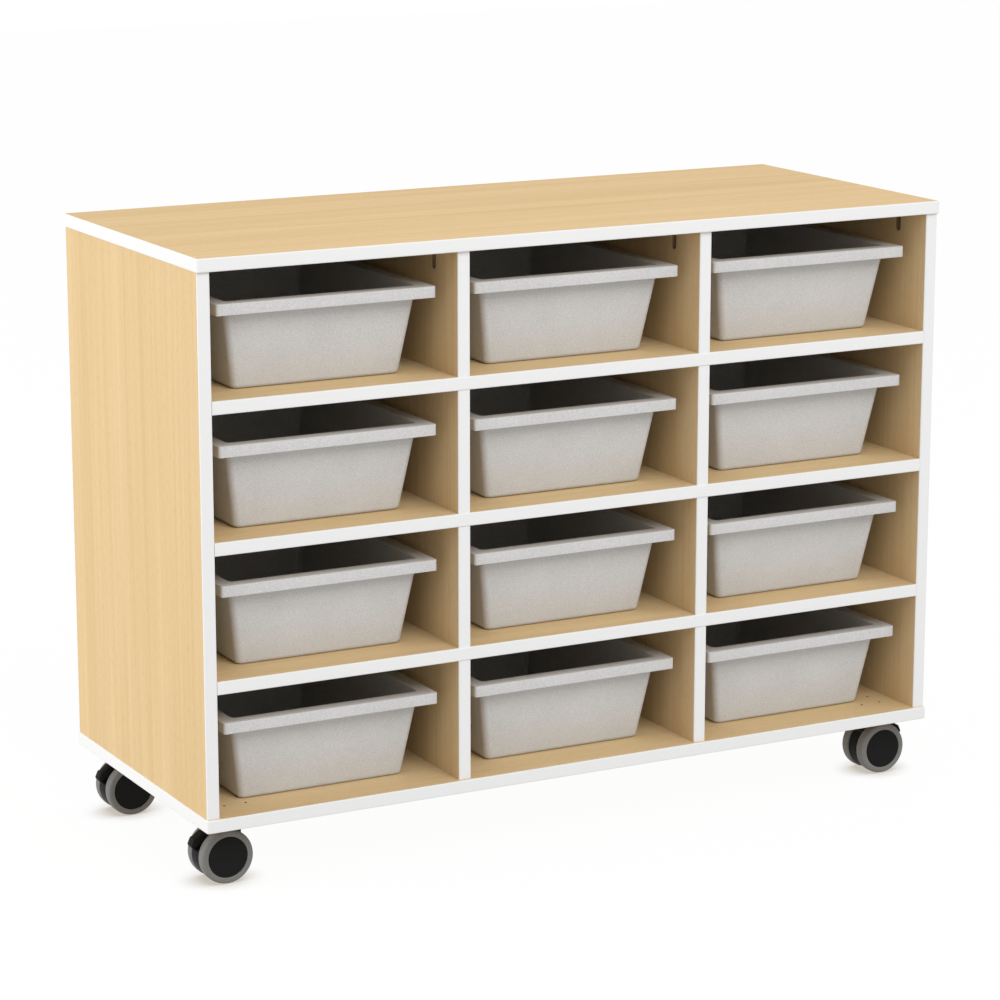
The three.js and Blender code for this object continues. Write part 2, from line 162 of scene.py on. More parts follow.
# Casters, the same sizes as the solid casters apart from the hood's chin, which the solid leaves out
CASTERS = ("caster_fl", "caster_fr", "caster_bl", "caster_br")
CASTER_TRAIL = 16 * MM
WHEEL_STEPS = 72
HUB_RADIUS = 28 * MM
HUB_RECESS = 0.6 * MM
HUB_SHELL = 4 * MM
HUB_FACE = 2.5 * MM
HUB_BOSS = 8 * MM
HUB_DISH = 0.5 * MM
HUB_EDGE = 0.9 * MM
SMALL_EDGE = 0.4 * MM
TYRE_GAP = 0.35 * MM
TYRE_SHOULDER = 5 * MM
TYRE_CHAMFER = 2.5 * MM
TYRE_LIP = 1.2 * MM
AXLE_BORE = 4.3 * MM
PIN_BORE = 5.3 * MM
PIN_BORE_DEPTH = 18.3 * MM
HOOD_RADIUS = 34.4 * MM
HOOD_WIDTH = 22 * MM
HOOD_CHIN = 2.2 * MM
HOOD_CHIN_ANGLE = -10
HOOD_CHIN_REACH = 50
HOOD_TOP_ANGLE = 450
HOOD_EDGE = 1 * MM
NECK_HALF = 10 * MM
NECK_FILLET = 3 * MM
COLLAR_RADIUS = 16 * MM
COLLAR_HEIGHT = 8 * MM
PLATE_HOLE_SPACING = 31 * MM
PLATE_THICKNESS = 2.5 * MM

# Brake pedals, placed from the wheel's axle: outwards, then up
PEDAL_WIDTH = 15 * MM
PEDAL_SLOT = 16 * MM
PEDAL_PIVOT = (16 * MM, 21 * MM)
PEDAL_PIVOT_RADIUS = 2.5 * MM
PEDAL_PIVOT_BORE = 2.8 * MM
PEDAL_TAIL = 6 * MM
PEDAL_TAIL_ROOM = 4 * MM
PEDAL_TAIL_ARC = (135, 270)
PEDAL_SWING_ROOM = 8 * MM
PEDAL_REACH = 44.5 * MM
PEDAL_TIP_UP = 16.5 * MM
PEDAL_NOSE = 4.5 * MM
PEDAL_LEDGE = 4 * MM
PEDAL_LEDGE_RISE = 9 * MM
PEDAL_CROWN = 12.3 * MM
PEDAL_EDGE = 0.8 * MM

# Fasteners
POCKET_WEB = 8 * MM
POCKET_EDGE_INSET = 70 * MM
POCKET_SCREW_DEPTH = 5 * MM
SCREW_HEAD_RADIUS = 3.9 * MM
SCREW_HEAD_HEIGHT = 1.9 * MM
SCREW_TIP_RADIUS = 1.6 * MM
SCREW_TIP_HEIGHT = 0.7 * MM
CROSS_WIDTH = 1.1 * MM
CROSS_SPAN = 1.1 * SCREW_HEAD_RADIUS
CROSS_DEPTH = 0.9 * MM


class Graph:
    """Adds and links the shader nodes of one material or world."""

    def __init__(self, owner):
        self.owner = owner
        owner.use_nodes = True
        self.tree = owner.node_tree
        self.tree.nodes.clear()

    def node(self, kind, inputs=None, **settings):
        made = self.tree.nodes.new(kind)
        for key, value in settings.items():
            setattr(made, key, value)
        for key, value in (inputs or {}).items():
            self.feed(made.inputs[key], value)
        return made

    def feed(self, socket, value):
        if isinstance(value, bpy.types.NodeSocket):
            self.tree.links.new(value, socket)
        else:
            socket.default_value = value

    def math(self, operation, a, b=0.0):
        made = self.node("ShaderNodeMath", operation=operation)
        self.feed(made.inputs[0], a)
        self.feed(made.inputs[1], b)
        return made.outputs[0]

    def mix(self, factor, a, b, blend="MIX"):
        made = self.node("ShaderNodeMix", data_type="RGBA", blend_type=blend)
        self.feed(made.inputs[MIX_FACTOR], factor)
        self.feed(made.inputs[MIX_A], a)
        self.feed(made.inputs[MIX_B], b)
        return made.outputs[MIX_RESULT]

    def shares(self, share, a, b):
        """A share of one value and the rest of another."""
        return self.math("ADD", self.math("MULTIPLY", a, share), self.math("MULTIPLY", b, 1 - share))

    def vary(self, base, spread, noise):
        """A value that noise raises from its base by up to the spread."""
        return self.math("ADD", base, self.math("MULTIPLY", noise, spread))

    def ramp(self, factor, stops):
        made = self.node("ShaderNodeValToRGB", {"Fac": factor})
        elements = made.color_ramp.elements
        while len(elements) < len(stops):
            elements.new(0.5)
        for element, (place, colour) in zip(elements, stops):
            element.position = place
            element.color = colour
        return made.outputs["Color"]

    def tint(self, noise, dark, light):
        """Colour from dark to light over the values that noise mostly takes."""
        return self.ramp(noise, ((NOISE_LOW, dark), (NOISE_HIGH, light)))

    def noise(self, place, scale, detail=2.0, roughness=0.5, shift=(0, 0, 0), distortion=0.0):
        """Noise whose features measure one over scale, in metres, along each axis."""
        mapped = self.node("ShaderNodeMapping", {"Vector": place, "Location": shift, "Scale": scale})
        made = self.node("ShaderNodeTexNoise", {
            "Vector": mapped.outputs[0],
            "Scale": 1.0,
            "Detail": detail,
            "Roughness": roughness,
            "Distortion": distortion,
        })
        return made.outputs["Fac"]

    def finish(self, inputs, height=None, bump=0.1, depth=0.0005):
        """Ends the material in a principled surface, with a bump where a height is given."""
        surface = self.node("ShaderNodeBsdfPrincipled", inputs)
        if height is not None:
            raised = self.node("ShaderNodeBump", {"Strength": bump, "Distance": depth, "Height": height})
            self.feed(surface.inputs["Normal"], raised.outputs[0])
        self.node("ShaderNodeOutputMaterial", {"Surface": surface.outputs[0]})
        return self.owner

    def seen(self):
        """1 on rays that show a surface to the camera, in a gloss or through glass, and 0 on others."""
        rays = self.node("ShaderNodeLightPath").outputs
        straight = self.math("MAXIMUM", rays["Is Camera Ray"], rays["Is Glossy Ray"])
        return self.math("MAXIMUM", straight, rays["Is Transmission Ray"])


def grain_scale(axis, along, across):
    """Noise scale with long features on the grain's axis and narrow ones across it."""
    return tuple(1 / along if i == axis else 1 / across for i in range(3))


def even_scale(size):
    """Noise scale with features of one size on every axis."""
    return (1 / size,) * 3


def laminate(name, node, grain, banded, shift):
    """Maple-print board, white bands on the named edges, such as ("y", -1), and where it is cut a chipboard
    core, its brown darkened as painted shade for the screw pockets.
    """
    graph = Graph(bpy.data.materials.new(name))
    place = graph.node("ShaderNodeTexCoord").outputs["Object"]
    offset = tuple(shift * step for step in PRINT_STEP)
    broad = graph.noise(
        place, grain_scale(grain, *GRAIN_BROAD), detail=3, roughness=0.55, shift=offset, distortion=0.5,
    )
    streak = graph.noise(place, grain_scale(grain, *GRAIN_STREAK), detail=3, roughness=0.55, shift=offset)
    fleck = graph.noise(place, grain_scale(grain, *GRAIN_FLECK), shift=offset)
    maple = graph.ramp(graph.shares(BROAD_SHARE, broad, streak), MAPLE)
    wood = graph.mix(FLECK_SHARE, maple, graph.ramp(fleck, MAPLE_FLECKS), "MULTIPLY")

    split = graph.node("ShaderNodeSeparateXYZ", {"Vector": place})
    low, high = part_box(node)
    mask = 0.0
    for letter, side in banded:
        axis = "xyz".index(letter)
        if side < 0:
            edge = graph.math("LESS_THAN", split.outputs[axis], low[axis] + BAND_THICKNESS)
        else:
            edge = graph.math("GREATER_THAN", split.outputs[axis], high[axis] - BAND_THICKNESS)
        mask = graph.math("MAXIMUM", mask, edge)
    peel = graph.noise(place, even_scale(BAND_PEEL))
    band = graph.tint(peel, BAND_DARK, BAND_LIGHT)

    # Cut surfaces away from both faces take the core brown, partly real chipboard and partly painted shade
    # in the screw pockets
    thin = min(range(3), key=lambda axis: high[axis] - low[axis])
    above = graph.math("GREATER_THAN", split.outputs[thin], low[thin] + FACE_SKIN)
    below = graph.math("LESS_THAN", split.outputs[thin], high[thin] - FACE_SKIN)
    chips = graph.noise(place, even_scale(CORE_CHIP), detail=3, roughness=0.6)
    core_and_pocket_shade = graph.tint(chips, CORE_DARK_WITH_SHADE, CORE_LIGHT_WITH_SHADE)
    board = graph.mix(graph.math("MULTIPLY", above, below), wood, core_and_pocket_shade)
    inputs = {
        "Base Color": graph.mix(mask, board, band),
        "Roughness": graph.vary(BOARD_ROUGHNESS, BOARD_ROUGHNESS_SPREAD, streak),
        "Specular IOR Level": BOARD_SPECULAR,
    }
    return graph.finish(inputs, graph.shares(BUMP_FLECK_SHARE, fleck, peel), BOARD_BUMP, BOARD_BUMP_DEPTH)


def moulded(name, dark, light, grain, roughness, specular, bump):
    """Moulded plastic or rubber with a fine stipple of the given size."""
    graph = Graph(bpy.data.materials.new(name))
    place = graph.node("ShaderNodeTexCoord").outputs["Object"]
    stipple = graph.noise(place, even_scale(grain), roughness=0.6)
    cloud = graph.noise(place, even_scale(grain * CLOUD_STIPPLES))
    smoothest = roughness - STIPPLE_ROUGHNESS_SPREAD / 2
    inputs = {
        "Base Color": graph.tint(graph.shares(STIPPLE_SHARE, stipple, cloud), dark, light),
        "Roughness": graph.vary(smoothest, STIPPLE_ROUGHNESS_SPREAD, stipple),
        "Specular IOR Level": specular,
    }
    return graph.finish(inputs, stipple, bump, STIPPLE_DEPTH)


def plated(name, dark, light):
    """Plated steel with a faint drawn grain."""
    graph = Graph(bpy.data.materials.new(name))
    place = graph.node("ShaderNodeTexCoord").outputs["Object"]
    drawn = graph.noise(place, DRAWN_LINES, detail=3, roughness=0.6)
    inputs = {
        "Base Color": graph.tint(graph.noise(place, SPANGLES), dark, light),
        "Metallic": 1.0,
        "Roughness": graph.vary(STEEL_ROUGHNESS, STEEL_ROUGHNESS_SPREAD, drawn),
    }
    return graph.finish(inputs, drawn, STEEL_BUMP, STEEL_BUMP_DEPTH)


TRAY_PLASTIC = moulded(
    "tray_plastic", (0.530, 0.528, 0.524, 1), (0.735, 0.732, 0.727, 1),
    grain=1.4 * MM, roughness=0.60, specular=0.2, bump=0.10,
)
BLACK_PLASTIC = moulded(
    "black_plastic", (0.0100, 0.0100, 0.0100, 1), (0.0195, 0.0195, 0.0192, 1),
    grain=0.9 * MM, roughness=0.45, specular=0.03, bump=0.08,
)
TYRE_RUBBER = moulded(
    "tyre_rubber", (0.165, 0.159, 0.150, 1), (0.216, 0.209, 0.198, 1),
    grain=1.2 * MM, roughness=0.60, specular=0.25, bump=0.10,
)
ZINC = plated("plated_steel", (0.50, 0.51, 0.52, 1), (0.62, 0.62, 0.61, 1))
DARK_STEEL = plated("dark_steel", (0.070, 0.066, 0.060, 1), (0.110, 0.105, 0.096, 1))


def dress_boards():
    """Gives every board its own cut of the maple print."""
    front = ("y", -1)
    all_round = (("x", -1), ("x", 1), ("y", -1), ("y", 1))
    upright_names = ["left_side", "right_side"]
    shelf_names = [f"shelf_{i + 1}" for i in range(ROWS - 1)]
    divider_names = [f"divider_r{r + 1}_{g + 1}" for r in range(ROWS) for g in range(COLUMNS - 1)]
    plan = [(n, GRAIN_ACROSS, all_round) for n in ("top_board", "bottom_board")]
    plan += [("back_panel", GRAIN_ACROSS, ())]
    plan += [(n, GRAIN_UPRIGHT, (front, ("y", 1))) for n in upright_names]
    plan += [(n, GRAIN_ACROSS, (front,)) for n in shelf_names]
    plan += [(n, GRAIN_UPRIGHT, (front,)) for n in divider_names]
    for shift, (node, grain, banded) in enumerate(plan):
        paint(frame["nodes"][node], laminate(f"maple_{node}", node, grain, banded, shift + 1))


def paint(obj, material):
    """Gives an object one material in place of any that it has."""
    obj.data.materials.clear()
    obj.data.materials.append(material)


def add_piece(name, mesh, material, body, replaced=()):
    """Puts a finished mesh, already in place, on a body of the frame."""
    obj = bpy.data.objects.new(name, mesh)
    bpy.context.scene.collection.objects.link(obj)
    paint(obj, material)
    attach(obj, body)
    if replaced:
        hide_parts(*replaced)
    return obj


def smooth(mesh, sharp=math.radians(40)):
    """Smooth shading with edges sharper than the angle kept crisp."""
    for polygon in mesh.polygons:
        polygon.use_smooth = True
    mesh.set_sharp_from_angle(angle=sharp)
    return mesh


def to_mesh(name, bm):
    """Named mesh with its faces outwards, shaded smooth."""
    bmesh.ops.recalc_face_normals(bm, faces=bm.faces)
    mesh = bpy.data.meshes.new(name)
    bm.to_mesh(mesh)
    bm.free()
    return smooth(mesh)


def ring(half_x, half_y, radius, z, steps):
    """Rounded rectangle of points at one height."""
    points = []
    for quarter, (sx, sy) in enumerate(((1, -1), (1, 1), (-1, 1), (-1, -1))):
        for i in range(steps + 1):
            turn = math.pi / 2 * (quarter - 1 + i / steps)
            x = sx * (half_x - radius) + radius * math.cos(turn)
            y = sy * (half_y - radius) + radius * math.sin(turn)
            points.append(Vector((x, y, z)))
    return points


def loft(rings):
    """Closed skin over a run of rings, capped flat at both ends."""
    bm = bmesh.new()
    rows = [[bm.verts.new(p) for p in points] for points in rings]
    for lower, upper in zip(rows, rows[1:]):
        for i in range(len(lower)):
            j = (i + 1) % len(lower)
            bm.faces.new((lower[i], lower[j], upper[j], upper[i]))
    bm.faces.new(rows[0])
    bm.faces.new(rows[-1])
    return bm


def arc(start, corner, end, steps):
    """Points from start to end that round off the corner between them."""
    points = []
    for i in range(steps + 1):
        t = i / steps
        points.append(tuple(
            (1 - t) ** 2 * s + 2 * t * (1 - t) * c + t ** 2 * e for s, c, e in zip(start, corner, end)
        ))
    return points


def tray_profile(height):
    """(inset from the rim's outside, height, corner radius), from the outer floor to the inner floor."""
    slope = math.tan(TRAY_DRAFT)
    across = TRAY_WALL / math.cos(TRAY_DRAFT)

    def inner(z):
        return TRAY_RIM + (height - z) * slope

    def outer(z):
        return inner(z) - across

    def floor_fillet(inset, z, size, radius):
        start = (inset(z) + size, z, radius - size)
        corner = (inset(z), z, radius)
        end = (inset(z + size), z + size, radius)
        return arc(start, corner, end, TRAY_FLOOR_STEPS)

    rim_under = height - TRAY_WALL
    lip_end = height - TRAY_LIP
    inside_corner = TRAY_WALL_CORNER - TRAY_WALL
    lip_inside = TRAY_RIM_CORNER - TRAY_WALL
    edge, small = TRAY_EDGE, TRAY_LIP_EDGE
    outside = floor_fillet(outer, 0, TRAY_FLOOR_FILLET, TRAY_WALL_CORNER)
    under = arc(
        (outer(rim_under - 2 * edge), rim_under - 2 * edge, TRAY_WALL_CORNER),
        (outer(rim_under), rim_under, TRAY_WALL_CORNER),
        (outer(rim_under) - 2 * edge, rim_under, TRAY_WALL_CORNER),
        TRAY_EDGE_STEPS,
    )
    lip = [(TRAY_WALL, rim_under, lip_inside)]
    lip += arc(
        (TRAY_WALL, lip_end + small, lip_inside),
        (TRAY_WALL, lip_end, lip_inside),
        (TRAY_WALL - small, lip_end, lip_inside + small),
        TRAY_EDGE_STEPS,
    )
    lip += arc(
        (small, lip_end, TRAY_RIM_CORNER - small),
        (0, lip_end, TRAY_RIM_CORNER),
        (0, lip_end + small, TRAY_RIM_CORNER),
        TRAY_EDGE_STEPS,
    )
    lip += arc(
        (0, height - edge, TRAY_RIM_CORNER),
        (0, height, TRAY_RIM_CORNER),
        (edge, height, TRAY_RIM_CORNER - edge),
        TRAY_EDGE_STEPS,
    )
    mouth = arc(
        (TRAY_RIM - edge, height, inside_corner + edge),
        (TRAY_RIM, height, inside_corner),
        (inner(height - edge), height - edge, inside_corner),
        TRAY_EDGE_STEPS,
    )
    inside = floor_fillet(inner, TRAY_WALL, TRAY_FLOOR_FILLET - TRAY_WALL, inside_corner)
    return outside + under + lip + mouth + inside[::-1]


def make_trays():
    """Twelve moulded trays in place of the solid ones."""
    for row in range(ROWS):
        for column in range(COLUMNS):
            node = f"tray_r{row + 1}_c{column + 1}"
            low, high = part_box(node)
            size = high - low
            centre = (low + high) / 2
            rings = [
                ring(size.x / 2 - inset, size.y / 2 - inset, radius, z, TRAY_CORNER_STEPS)
                for inset, z, radius in tray_profile(size.z)
            ]
            mesh = to_mesh(f"moulded_{node}", loft(rings))
            mesh.transform(Matrix.Translation((centre.x, centre.y, low.z)))
            add_piece(f"moulded_{node}", mesh, TRAY_PLASTIC, f"{node}_body", [node])


def revolve(profile, steps=WHEEL_STEPS):
    """Turned form about the Y axis from (radius, along) points; a radius of nought closes on the axis."""
    bm = bmesh.new()
    rows = []
    for radius, along in profile:
        if radius == 0:
            rows.append([bm.verts.new((0, along, 0))])
            continue
        turns = [2 * math.pi * i / steps for i in range(steps)]
        rows.append([bm.verts.new((radius * math.sin(t), along, radius * math.cos(t))) for t in turns])
    for lower, upper in zip(rows, rows[1:]):
        for i in range(steps):
            j = (i + 1) % steps
            corners = [row[k % len(row)] for row, k in ((lower, i), (lower, j), (upper, j), (upper, i))]
            bm.faces.new(list(dict.fromkeys(corners)))
    return bm


def make_wheels():
    """Hub discs and tyres in place of the faceted wheels."""
    for caster in CASTERS:
        for end, side in (("front", -1), ("rear", 1)):
            low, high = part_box(f"{caster}_tyre_{end}")
            centre = (low + high) / 2
            radius = centre.z
            width = high.y - low.y
            inside = low.y if side > 0 else high.y
            place = Matrix.Translation((centre.x, inside, centre.z)) @ Matrix.Diagonal((1, side, 1, 1))
            hub = to_mesh(f"{caster}_hub_{end}", revolve(hub_profile(width)))
            tyre = to_mesh(f"{caster}_tread_{end}", revolve(tyre_profile(radius, width)))
            for mesh in (hub, tyre):
                mesh.transform(place)
                if side < 0:
                    mesh.flip_normals()
            body = f"{caster}_roller_{end}"
            add_piece(hub.name, hub, BLACK_PLASTIC, body, [f"{caster}_wheel_{end}"])
            add_piece(tyre.name, tyre, TYRE_RUBBER, body, [f"{caster}_tyre_{end}"])


def hub_profile(width):
    """Cup-shaped hub: a faintly dished face outside, open inside round a bored boss."""
    face = width - HUB_RECESS
    web = face - HUB_SHELL
    edge = arc((HUB_RADIUS - HUB_EDGE, face), (HUB_RADIUS, face), (HUB_RADIUS, face - HUB_EDGE), steps=4)
    return [(0, face - HUB_DISH), (HUB_RADIUS / 2, face - HUB_DISH / 2)] + edge + [
        (HUB_RADIUS, SMALL_EDGE),
        (HUB_RADIUS - SMALL_EDGE, 0),
        (HUB_RADIUS - HUB_SHELL, 0),
        (HUB_RADIUS - HUB_SHELL, web),
        (HUB_BOSS, web),
        (HUB_BOSS, 0),
        (AXLE_BORE, 0),
        (AXLE_BORE, face - HUB_FACE),
        (0, face - HUB_FACE),
    ]


def tyre_profile(radius, width):
    """Soft tread with a rounded shoulder outside and a small round inside."""
    seat = HUB_RADIUS + TYRE_GAP
    inner = arc((radius - TYRE_CHAMFER, 0), (radius, 0), (radius, TYRE_CHAMFER), steps=4)
    shoulder_in, shoulder_down = width - TYRE_SHOULDER, radius - TYRE_SHOULDER
    shoulder = arc((radius, shoulder_in), (radius, width), (shoulder_down, width), steps=6)
    lip = arc((seat + TYRE_LIP, width), (seat, width), (seat, width - TYRE_LIP), steps=3)
    foot = [(seat, SMALL_EDGE), (seat + SMALL_EDGE, 0)]
    return foot + inner + shoulder + lip + foot[:1]


def extruded(outline, width):
    """Solid with a side outline in (x, z), centred across Y."""
    bm = bmesh.new()
    near = [bm.verts.new((x, -width / 2, z)) for x, z in outline]
    far = [bm.verts.new((x, width / 2, z)) for x, z in outline]
    bm.faces.new(near)
    bm.faces.new(far[::-1])
    for i in range(len(outline)):
        j = (i + 1) % len(outline)
        bm.faces.new((near[j], near[i], far[i], far[j]))
    bmesh.ops.recalc_face_normals(bm, faces=bm.faces)
    return bm


def circle_points(centre, radius, start, end, steps):
    """Points of an arc in (x, z), angles in degrees from +x towards +z."""
    turns = [math.radians(start + (end - start) * i / steps) for i in range(steps + 1)]
    return [(centre[0] + radius * math.cos(t), centre[1] + radius * math.sin(t)) for t in turns]


def rod(name, radius, length, axis, place, steps=32):
    """Round bar along the named axis with its middle at the place."""
    half = length / 2
    mesh = to_mesh(name, revolve([(0, -half), (radius, -half), (radius, half), (0, half)], steps))
    turn = Matrix.Rotation(math.pi / 2, 4, "X") if axis == "z" else Matrix.Identity(4)
    mesh.transform(Matrix.Translation(place) @ turn)
    return mesh


def shaped(mesh, joins=(), cuts=(), edge=0.0, bores=()):
    """The mesh joined to some solids and cut by others, its edges rounded, then bored."""
    scene = bpy.context.scene.collection.objects
    obj = bpy.data.objects.new("work", mesh)
    scene.link(obj)
    tools = []

    def combine(operation, solids):
        for solid in solids:
            tool = bpy.data.objects.new("tool", solid)
            scene.link(tool)
            tools.append(tool)
            modifier = obj.modifiers.new(operation, "BOOLEAN")
            modifier.operation = operation
            modifier.solver = "EXACT"
            modifier.object = tool

    combine("UNION", joins)
    combine("DIFFERENCE", cuts)
    if edge:
        bevel = obj.modifiers.new("round", "BEVEL")
        bevel.width = edge
        bevel.segments = 3
        bevel.limit_method = "ANGLE"
        bevel.angle_limit = math.radians(35)
    combine("DIFFERENCE", bores)
    evaluated = obj.evaluated_get(bpy.context.evaluated_depsgraph_get())
    made = bpy.data.meshes.new_from_object(evaluated)
    made.name = mesh.name
    for used in [obj] + tools:
        bpy.data.objects.remove(used)
    return smooth(made)


def make_casters():
    """Hoods and brake pedals in place of the faceted ones, and the screws that hold the plates."""
    for caster in CASTERS:
        plate_low, plate_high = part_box(f"{caster}_plate")
        axle_low, axle_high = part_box(f"{caster}_axle")
        hood_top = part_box(f"{caster}_hood")[1].z
        board_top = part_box("bottom_board")[1].z
        swivel = (plate_low + plate_high) / 2
        axle = (axle_low + axle_high) / 2
        outward = 1 if axle.x > swivel.x else -1
        place = Matrix.Translation((swivel.x, swivel.y, 0)) @ Matrix.Diagonal((outward, outward, 1, 1))

        hood = hood_mesh(f"{caster}_shell", axle.z, hood_top)
        hood.transform(place)
        add_piece(hood.name, hood, BLACK_PLASTIC, f"{caster}_swivel", [f"{caster}_hood"])

        pedal = pedal_mesh(f"{caster}_pedal_tread", axle.z)
        pedal.transform(place)
        add_piece(pedal.name, pedal, BLACK_PLASTIC, f"{caster}_pedal", [f"{caster}_brake"])

        paint(frame["nodes"][f"{caster}_plate"], ZINC)
        paint(frame["nodes"][f"{caster}_axle"], ZINC)
        plate_under = plate_high.z - PLATE_THICKNESS
        for number, (x, y) in enumerate(((-1, -1), (1, -1), (1, 1), (-1, 1))):
            spot = Vector((swivel.x + x * PLATE_HOLE_SPACING / 2, swivel.y + y * PLATE_HOLE_SPACING / 2, 0))
            head = screw_head(f"{caster}_screw_{number + 1}")
            head.transform(Matrix.Translation((spot.x, spot.y, plate_under)))
            add_piece(head.name, head, ZINC, "cabinet")
            tip = screw_tip(f"{caster}_screw_tip_{number + 1}")
            tip.transform(Matrix.Translation((spot.x, spot.y, board_top)))
            add_piece(tip.name, tip, DARK_STEEL, "cabinet")


def hood_mesh(name, axle_z, top):
    """Round body with a chin under the pedal, neck and collar on the swivel pin, slot and bores."""
    collar_bottom = top - COLLAR_HEIGHT
    neck_top = collar_bottom + COLLAR_HEIGHT / 2
    shoulder = axle_z + HOOD_RADIUS
    meet = math.degrees(math.acos((-NECK_HALF - CASTER_TRAIL) / HOOD_RADIUS))
    outline = []
    for x, z in circle_points((0, 0), HOOD_RADIUS, meet, HOOD_TOP_ANGLE, steps=64):
        off = (math.degrees(math.atan2(z, x)) - HOOD_CHIN_ANGLE) / HOOD_CHIN_REACH
        chin = HOOD_CHIN * math.cos(min(abs(off), 1) * math.pi / 2) ** 2
        swell = 1 + chin / HOOD_RADIUS
        outline.append((CASTER_TRAIL + x * swell, axle_z + z * swell))
    outline += arc(
        (NECK_HALF + NECK_FILLET, shoulder),
        (NECK_HALF, shoulder),
        (NECK_HALF, shoulder + NECK_FILLET),
        steps=4,
    )
    outline += [(NECK_HALF, neck_top), (-NECK_HALF, neck_top)]
    body = to_mesh(name, extruded(outline, HOOD_WIDTH))
    collar = rod("collar", COLLAR_RADIUS, COLLAR_HEIGHT, "z", (0, 0, top - COLLAR_HEIGHT / 2), steps=48)

    slot_back = CASTER_TRAIL + PEDAL_PIVOT[0] - PEDAL_TAIL - PEDAL_TAIL_ROOM
    slot_floor = axle_z + PEDAL_PIVOT[1] - PEDAL_TAIL - PEDAL_SWING_ROOM
    slot_end = slot_back + 2 * HOOD_RADIUS
    slot_top = slot_floor + 2 * HOOD_RADIUS
    slot = to_mesh("slot", extruded(
        [(slot_back, slot_floor), (slot_end, slot_floor), (slot_end, slot_top), (slot_back, slot_top)],
        PEDAL_SLOT,
    ))
    pin = rod("pin_bore", PIN_BORE, 2 * PIN_BORE_DEPTH, "z", (0, 0, top))
    axle = rod("axle_bore", AXLE_BORE, 2 * HOOD_WIDTH, "y", (CASTER_TRAIL, 0, axle_z))
    pivot = rod("pivot_bore", PEDAL_PIVOT_BORE, 2 * HOOD_WIDTH, "y", pedal_point(axle_z))
    return shaped(body, [collar], [slot], HOOD_EDGE, [pin, axle, pivot])


def pedal_point(axle_z):
    """Where the pedal's pivot lies beside its axle."""
    return (CASTER_TRAIL + PEDAL_PIVOT[0], 0, axle_z + PEDAL_PIVOT[1])


def pedal_mesh(name, axle_z):
    """Foot pedal with its trunnion: round tail at the pivot, sloping tread, ledge and blunt nose."""
    out, up = PEDAL_PIVOT
    ledge_up = PEDAL_TIP_UP + PEDAL_LEDGE_RISE
    side = circle_points((out, up), PEDAL_TAIL, *PEDAL_TAIL_ARC, steps=12) + [
        (PEDAL_REACH - PEDAL_CROWN, PEDAL_TIP_UP),
        (PEDAL_REACH - PEDAL_NOSE / 2, PEDAL_TIP_UP - PEDAL_NOSE),
        (PEDAL_REACH, PEDAL_TIP_UP),
        (PEDAL_REACH - PEDAL_LEDGE, ledge_up),
        (PEDAL_REACH - 2 * PEDAL_LEDGE, ledge_up + PEDAL_LEDGE / 4),
        (out + PEDAL_CROWN, up + PEDAL_CROWN),
        (out, up + PEDAL_CROWN),
    ]
    outline = [(CASTER_TRAIL + x, axle_z + z) for x, z in side]
    lever = shaped(to_mesh(name, extruded(outline, PEDAL_WIDTH)), edge=PEDAL_EDGE)
    return shaped(lever, [rod("trunnion", PEDAL_PIVOT_RADIUS, HOOD_WIDTH, "y", pedal_point(axle_z))])


def cross_recess(name, span, top):
    """Two crossed bars that cut a driver's recess down from a head's top."""
    bars = []
    for number, (x, y) in enumerate(((span, CROSS_WIDTH), (CROSS_WIDTH, span))):
        bar = bmesh.new()
        size = Matrix.Diagonal((x, y, 2 * CROSS_DEPTH, 1))
        bmesh.ops.create_cube(bar, size=1, matrix=Matrix.Translation((0, 0, top)) @ size)
        bars.append(to_mesh(f"{name}_bar_{number + 1}", bar))
    return bars


def screw_head(name):
    """Pan head hanging under a caster's plate, with its cross recess downwards."""
    radius, height = SCREW_HEAD_RADIUS, SCREW_HEAD_HEIGHT
    crown = arc((radius, height / 3), (radius, height), (radius / 2, height), steps=5)
    head = to_mesh(name, revolve([(0, 0), (radius, 0)] + crown + [(0, height)], steps=32))
    head.transform(Matrix.Rotation(math.pi / 2, 4, "X"))
    made = shaped(head, cuts=cross_recess(name, CROSS_SPAN, height))
    made.transform(Matrix.Rotation(math.pi, 4, "X"))
    return made


def screw_tip(name):
    """End of a caster screw that comes up through the bottom board."""
    radius, height = SCREW_TIP_RADIUS, SCREW_TIP_HEIGHT
    point = arc((radius, height / 3), (radius, height), (0, height), steps=4)
    mesh = to_mesh(name, revolve([(0, -height), (radius, -height)] + point, steps=24))
    mesh.transform(Matrix.Rotation(math.pi / 2, 4, "X"))
    return mesh


def make_pocket_screws():
    """Screws driven up from the uprights' pockets into the top board."""
    for node, side in (("left_side", 1), ("divider_r1_1", -1), ("divider_r1_2", -1), ("right_side", -1)):
        low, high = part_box(node)
        face = high.x if side > 0 else low.x
        for end, y in (("front", low.y + POCKET_EDGE_INSET), ("rear", high.y - POCKET_EDGE_INSET)):
            head = screw_head(f"pocket_screw_{node}_{end}")
            head.transform(Matrix.Translation((face - side * POCKET_SCREW_DEPTH, y, high.z - POCKET_WEB)))
            add_piece(head.name, head, ZINC, "cabinet")


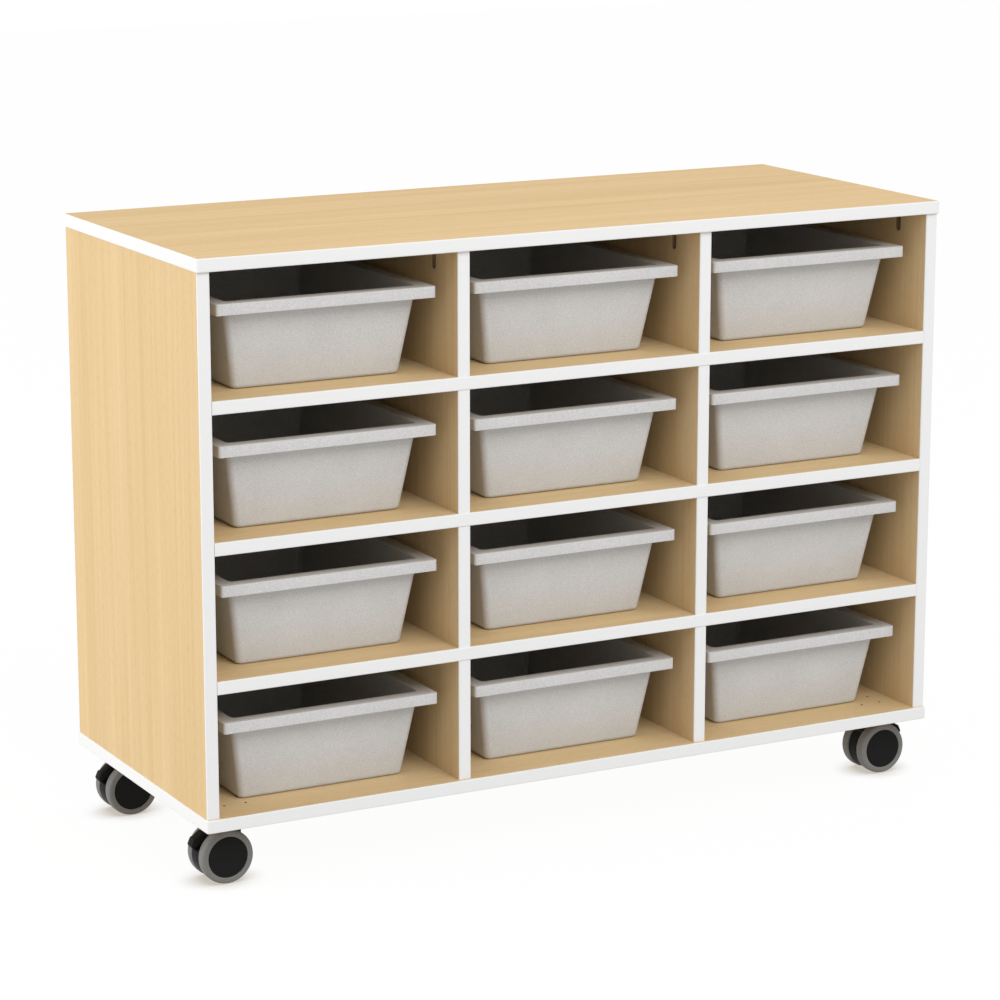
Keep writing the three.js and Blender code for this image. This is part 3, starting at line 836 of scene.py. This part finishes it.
def make_floor():
    """Pale floor that the camera sees as white, with the object's shadow left on it."""
    bm = bmesh.new()
    bmesh.ops.create_grid(bm, x_segments=1, y_segments=1, size=FLOOR_HALF)
    floor = bpy.data.objects.new("floor", to_mesh("floor", bm))
    bpy.context.scene.collection.objects.link(floor)
    graph = Graph(bpy.data.materials.new("floor_white"))
    seen = graph.seen()
    contact = graph.node("ShaderNodeAmbientOcclusion", {"Distance": CONTACT_REACH})
    shade = graph.ramp(contact.outputs["AO"], CONTACT_SHADE)
    matt = graph.node("ShaderNodeBsdfDiffuse", {"Color": graph.mix(seen, FLOOR_MATT, FLOOR_SEEN_MATT)})
    glow = graph.node("ShaderNodeEmission", {"Color": shade, "Strength": 1.0})
    mixed = graph.node("ShaderNodeMixShader", {
        "Fac": graph.math("MAXIMUM", graph.math("MULTIPLY", seen, FLOOR_SEEN_GLOW), FLOOR_GLOW),
        1: matt.outputs[0],
        2: glow.outputs[0],
    })
    graph.node("ShaderNodeOutputMaterial", {"Surface": mixed.outputs[0]})
    paint(floor, graph.owner)


def make_light():
    """White dome with large soft lamps at the left and high in front."""
    world = bpy.data.worlds.new("studio")
    bpy.context.scene.world = world
    graph = Graph(world)
    lit = graph.node("ShaderNodeBackground", {"Color": CLEAR, "Strength": DOME_STRENGTH})
    shown = graph.node("ShaderNodeBackground", {"Color": CLEAR, "Strength": 1.0})
    mixed = graph.node("ShaderNodeMixShader", {"Fac": graph.seen(), 1: lit.outputs[0], 2: shown.outputs[0]})
    graph.node("ShaderNodeOutputWorld", {"Surface": mixed.outputs[0]})

    for name, (place, power) in (("left_lamp", LEFT_LAMP), ("front_lamp", FRONT_LAMP)):
        lamp = bpy.data.lights.new(name, "AREA")
        lamp.shape = "SQUARE"
        lamp.size = LAMP_SIZE
        lamp.energy = power
        holder = bpy.data.objects.new(name, lamp)
        holder.location = place
        holder.rotation_euler = (LAMP_AIM - place).to_track_quat("-Z", "Y").to_euler()
        bpy.context.scene.collection.objects.link(holder)


def make_camera():
    """Camera at the photograph's viewing angle."""
    camera = bpy.data.cameras.new("camera")
    camera.sensor_width = CAMERA_SENSOR
    camera.lens = CAMERA_LENS
    holder = bpy.data.objects.new("camera", camera)
    back = Vector((
        math.sin(CAMERA_AZIMUTH) * math.cos(CAMERA_ELEVATION),
        -math.cos(CAMERA_AZIMUTH) * math.cos(CAMERA_ELEVATION),
        math.sin(CAMERA_ELEVATION),
    ))
    holder.location = CAMERA_TARGET + back * CAMERA_DISTANCE
    holder.rotation_euler = (-back).to_track_quat("-Z", "Y").to_euler()
    bpy.context.scene.collection.objects.link(holder)
    bpy.context.scene.camera = holder


dress_boards()
make_trays()
make_wheels()
make_casters()
make_pocket_screws()
make_floor()
make_light()
make_camera()
bpy.context.scene.view_settings.view_transform = "Standard"
bpy.context.scene.cycles.diffuse_bounces = DIFFUSE_BOUNCES
